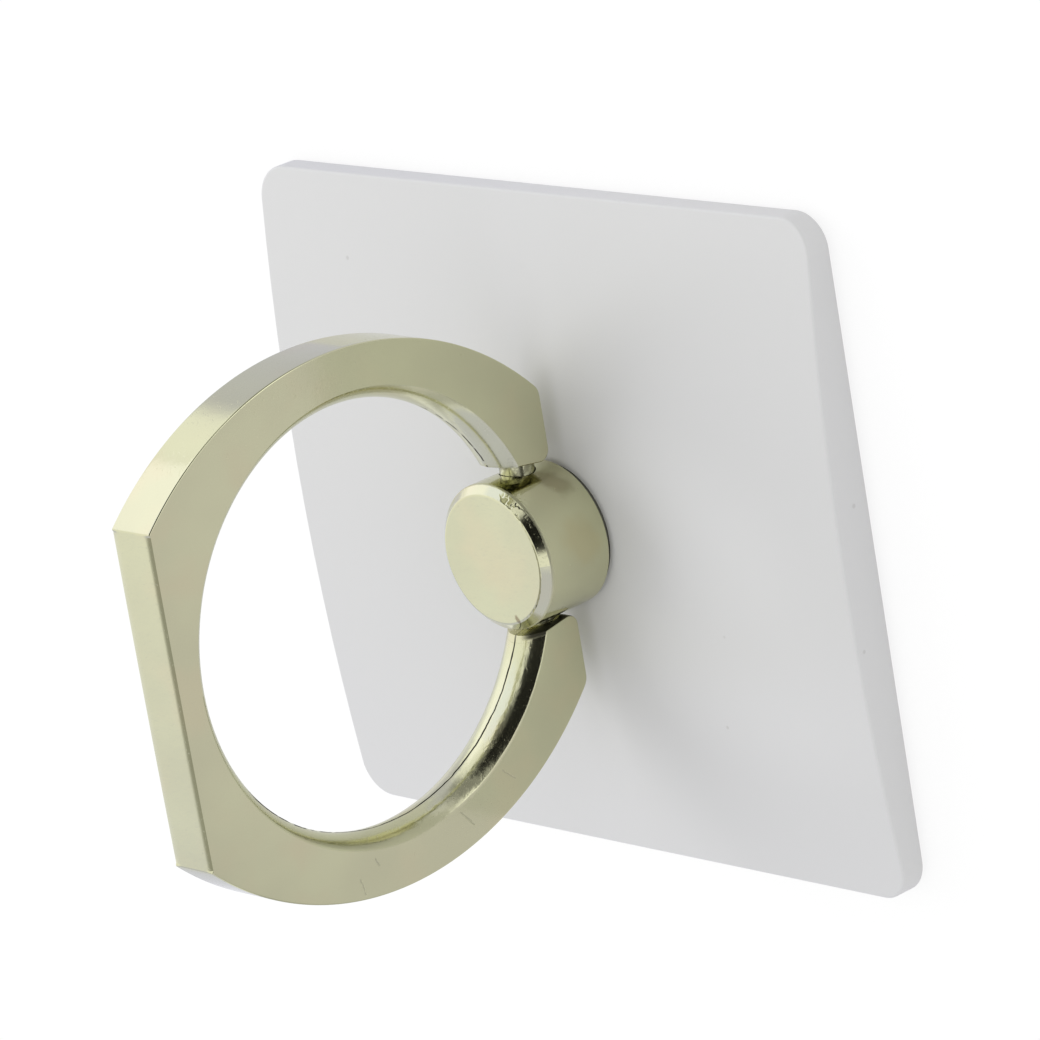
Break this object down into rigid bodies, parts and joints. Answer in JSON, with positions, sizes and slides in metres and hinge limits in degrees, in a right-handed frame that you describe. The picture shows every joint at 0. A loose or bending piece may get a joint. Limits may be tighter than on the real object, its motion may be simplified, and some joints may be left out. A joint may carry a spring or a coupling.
{
  "type": "phone ring holder",
  "caption": "Stick-on phone holder: flat rounded plate with adhesive back, a turning knob at its middle and a folding finger ring with a flat end that also serves as a stand.",
  "frame": {"origin": "middle of the adhesive pad's rear face, which is stuck to the phone", "axes": "+Z out from the phone through the knob's axis; Y along the ring's hinge pins at rest; X along the plate's longer side"},
  "size_m": [0.04, 0.0352, 0.0296],
  "materials": {
    "adhesive": "matte acrylic foam, tacky on its outer face",
    "plate": "white moulded plastic with a soft gloss",
    "washer": "dark low-friction plastic",
    "steel": "plain turned steel",
    "plating": "polished pale champagne plating on a casting"
  },
  "bodies": {
    "base": {"adhesive_pad": "adhesive", "base_plate": "plate", "front_washer": "washer", "rear_washer": "steel"},
    "knob": {"swivel_knob": "plating", "pivot_screw": "steel", "disc_spring": "steel"},
    "ring": {"finger_ring": "plating"}
  },
  "joints": [
    {"name": "knob_swivel", "type": "hinge", "parent": "base", "child": "knob", "pos_m": [0, 0, 0.003], "axis": [0, 0, 1], "continuous": true},
    {"name": "ring_flip", "type": "hinge", "parent": "knob", "child": "ring", "pos_m": [0, 0, 0.0049], "axis": [0, 1, 0], "range_deg": [-92, 92]}
  ]
}
